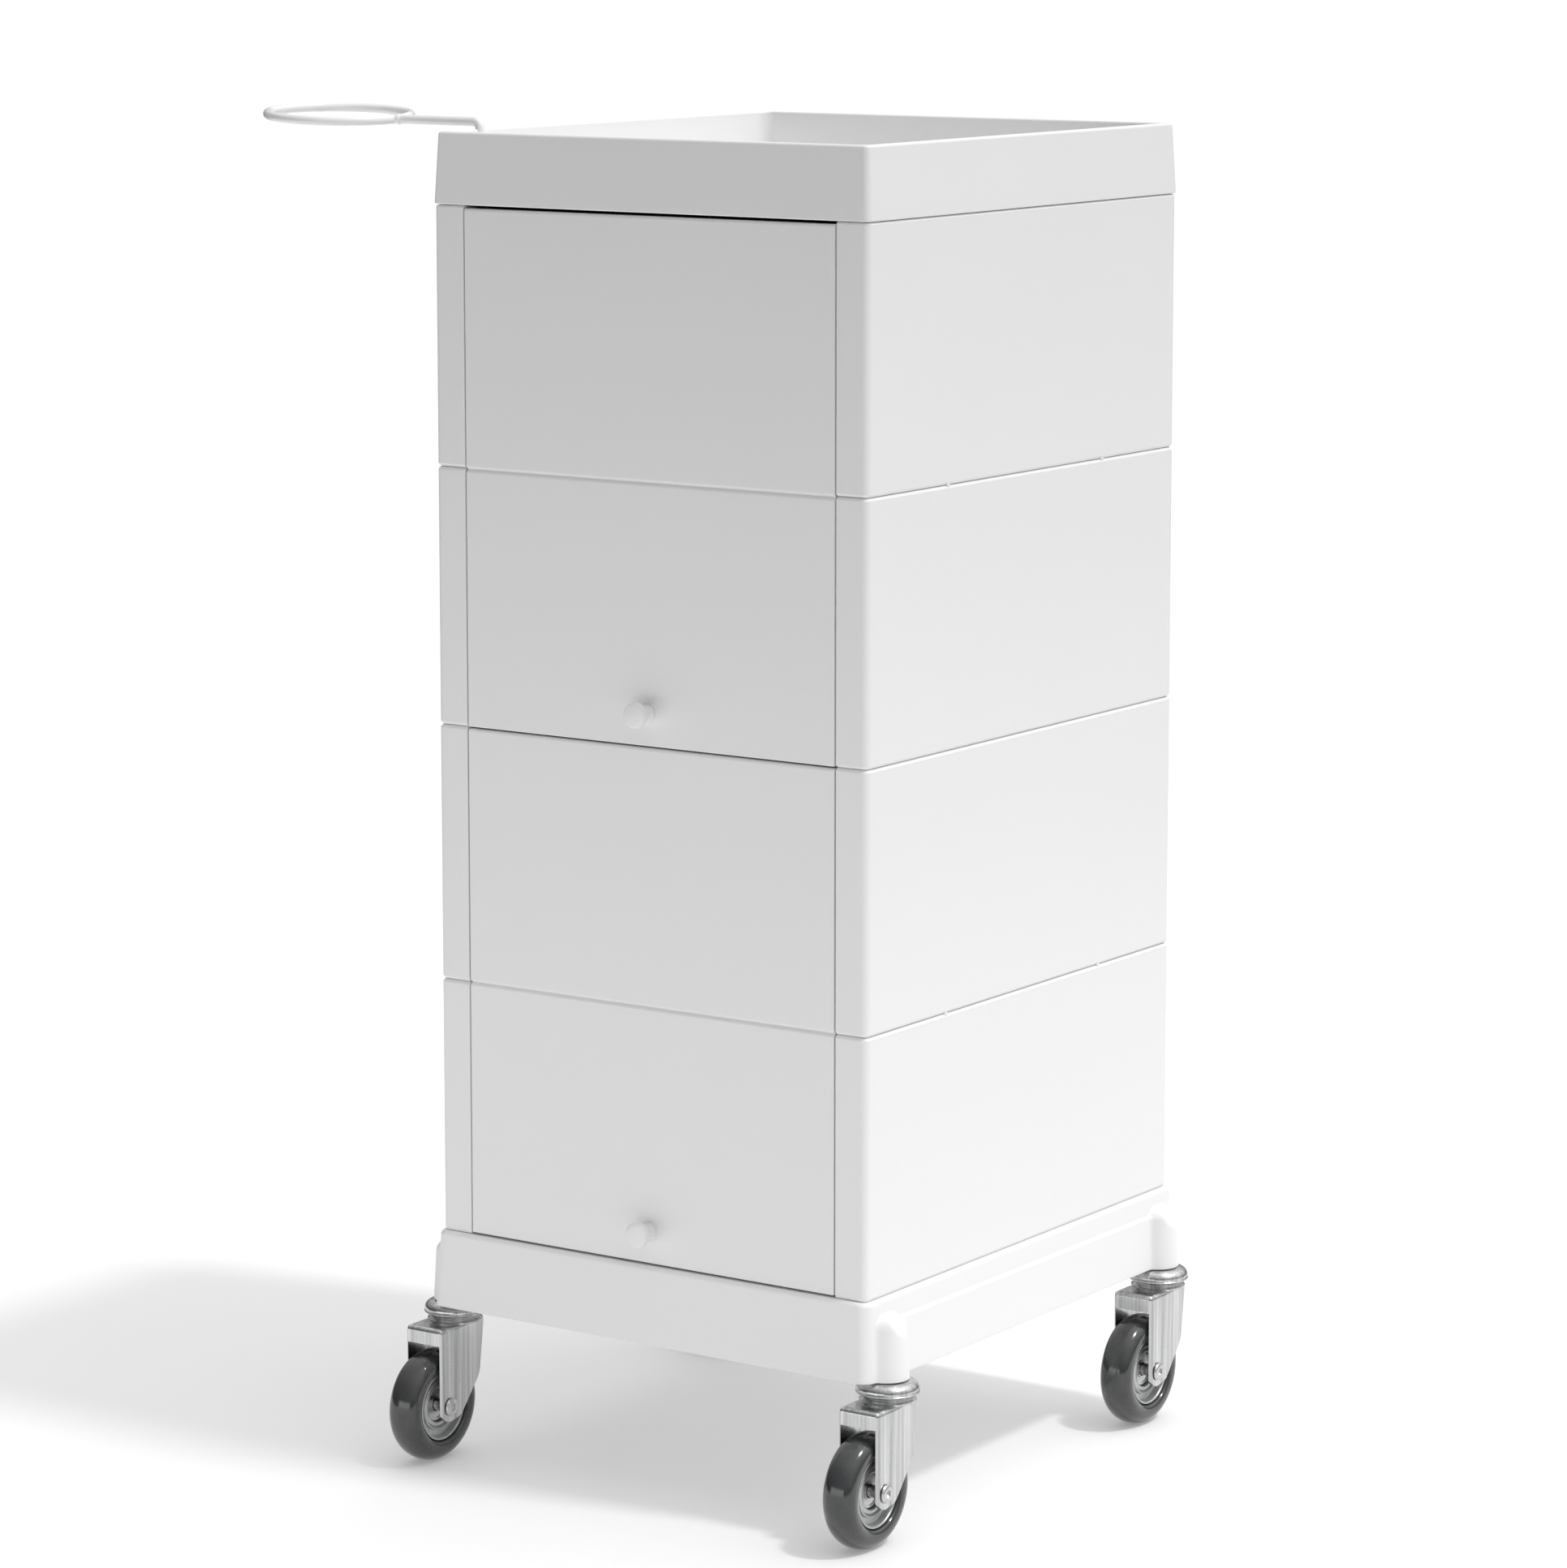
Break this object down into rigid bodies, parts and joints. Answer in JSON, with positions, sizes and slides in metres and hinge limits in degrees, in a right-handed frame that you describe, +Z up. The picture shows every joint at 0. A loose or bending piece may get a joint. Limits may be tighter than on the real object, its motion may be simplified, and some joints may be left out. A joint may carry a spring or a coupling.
{
  "type": "rolling salon trolley",
  "caption": "Tall white stacked-shell salon trolley with an open top tray, flap doors with knobs, a swing-out dryer ring and swivel casters.",
  "frame": {"origin": "bottom centre of the bounding box, on the floor under the wheels", "axes": "+Z up, +X to the right seen from the door side, doors and knobs face -Y, dryer ring stands out on the -X side"},
  "size_m": [0.5162, 0.4194, 0.8828],
  "materials": {
    "white_plastic": "satin white moulded plastic",
    "coated_rod": "glossy white coated steel rod",
    "zinc_steel": "bright zinc-plated pressed steel",
    "plain_steel": "plain bright steel",
    "wheel_hub": "silver-grey wheel centre",
    "wheel_tyre": "dark grey glossy cast polyurethane"
  },
  "bodies": {
    "cabinet": {"base_plinth": "white_plastic", "cabinet_shell_bottom": "white_plastic", "cabinet_shell_lower": "white_plastic", "cabinet_shell_upper": "white_plastic", "cabinet_shell_top": "white_plastic", "middle_shelf": "white_plastic", "top_tray": "white_plastic", "upper_door_hinge_pin_left": "plain_steel", "upper_door_hinge_pin_right": "plain_steel", "lower_door_hinge_pin_left": "plain_steel", "lower_door_hinge_pin_right": "plain_steel", "caster_stem_front_left": "plain_steel", "caster_stem_rear_left": "plain_steel", "caster_stem_front_right": "plain_steel", "caster_stem_rear_right": "plain_steel", "caster_cap_front_left": "zinc_steel", "caster_cap_rear_left": "zinc_steel", "caster_cap_front_right": "zinc_steel", "caster_cap_rear_right": "zinc_steel"},
    "upper_door": {"upper_door_panel": "white_plastic", "upper_door_knob": "white_plastic", "upper_door_knob_screw": "plain_steel"},
    "lower_door": {"lower_door_panel": "white_plastic", "lower_door_knob": "white_plastic", "lower_door_knob_screw": "plain_steel"},
    "dryer_holder": {"dryer_holder": "coated_rod"},
    "fork_front_left": {"caster_fork_front_left": "zinc_steel", "caster_axle_front_left": "plain_steel", "caster_axle_nut_front_left": "plain_steel"},
    "wheel_front_left": {"wheel_tyre_front_left": "wheel_tyre", "wheel_hub_front_left": "wheel_hub", "wheel_bearing_front_left": "plain_steel"},
    "fork_rear_left": {"caster_fork_rear_left": "zinc_steel", "caster_axle_rear_left": "plain_steel", "caster_axle_nut_rear_left": "plain_steel"},
    "wheel_rear_left": {"wheel_tyre_rear_left": "wheel_tyre", "wheel_hub_rear_left": "wheel_hub", "wheel_bearing_rear_left": "plain_steel"},
    "fork_front_right": {"caster_fork_front_right": "zinc_steel", "caster_axle_front_right": "plain_steel", "caster_axle_nut_front_right": "plain_steel"},
    "wheel_front_right": {"wheel_tyre_front_right": "wheel_tyre", "wheel_hub_front_right": "wheel_hub", "wheel_bearing_front_right": "plain_steel"},
    "fork_rear_right": {"caster_fork_rear_right": "zinc_steel", "caster_axle_rear_right": "plain_steel", "caster_axle_nut_rear_right": "plain_steel"},
    "wheel_rear_right": {"wheel_tyre_rear_right": "wheel_tyre", "wheel_hub_rear_right": "wheel_hub", "wheel_bearing_rear_right": "plain_steel"}
  },
  "joints": [
    {"name": "upper_door_hinge", "type": "hinge", "parent": "cabinet", "child": "upper_door", "pos_m": [0.06733, -0.16175, 0.8182], "axis": [-1, 0, 0], "range_deg": [0, 90]},
    {"name": "lower_door_hinge", "type": "hinge", "parent": "cabinet", "child": "lower_door", "pos_m": [0.06733, -0.16175, 0.484], "axis": [-1, 0, 0], "range_deg": [0, 90]},
    {"name": "dryer_holder_swivel", "type": "hinge", "parent": "cabinet", "child": "dryer_holder", "pos_m": [-0.09267, -0.12375, 0.86], "axis": [0, 0, 1], "continuous": true},
    {"name": "caster_swivel_front_left", "type": "hinge", "parent": "cabinet", "child": "fork_front_left", "pos_m": [-0.10317, -0.14775, 0.088], "axis": [0, 0, 1], "continuous": true},
    {"name": "wheel_spin_front_left", "type": "hinge", "parent": "fork_front_left", "child": "wheel_front_left", "pos_m": [-0.10317, -0.17275, 0.037], "axis": [1, 0, 0], "continuous": true},
    {"name": "caster_swivel_rear_left", "type": "hinge", "parent": "cabinet", "child": "fork_rear_left", "pos_m": [-0.10317, 0.18625, 0.088], "axis": [0, 0, 1], "continuous": true},
    {"name": "wheel_spin_rear_left", "type": "hinge", "parent": "fork_rear_left", "child": "wheel_rear_left", "pos_m": [-0.10317, 0.16125, 0.037], "axis": [1, 0, 0], "continuous": true},
    {"name": "caster_swivel_front_right", "type": "hinge", "parent": "cabinet", "child": "fork_front_right", "pos_m": [0.23783, -0.14775, 0.088], "axis": [0, 0, 1], "continuous": true},
    {"name": "wheel_spin_front_right", "type": "hinge", "parent": "fork_front_right", "child": "wheel_front_right", "pos_m": [0.23783, -0.17275, 0.037], "axis": [1, 0, 0], "continuous": true},
    {"name": "caster_swivel_rear_right", "type": "hinge", "parent": "cabinet", "child": "fork_rear_right", "pos_m": [0.23783, 0.18625, 0.088], "axis": [0, 0, 1], "continuous": true},
    {"name": "wheel_spin_rear_right", "type": "hinge", "parent": "fork_rear_right", "child": "wheel_rear_right", "pos_m": [0.23783, 0.16125, 0.037], "axis": [1, 0, 0], "continuous": true}
  ]
}
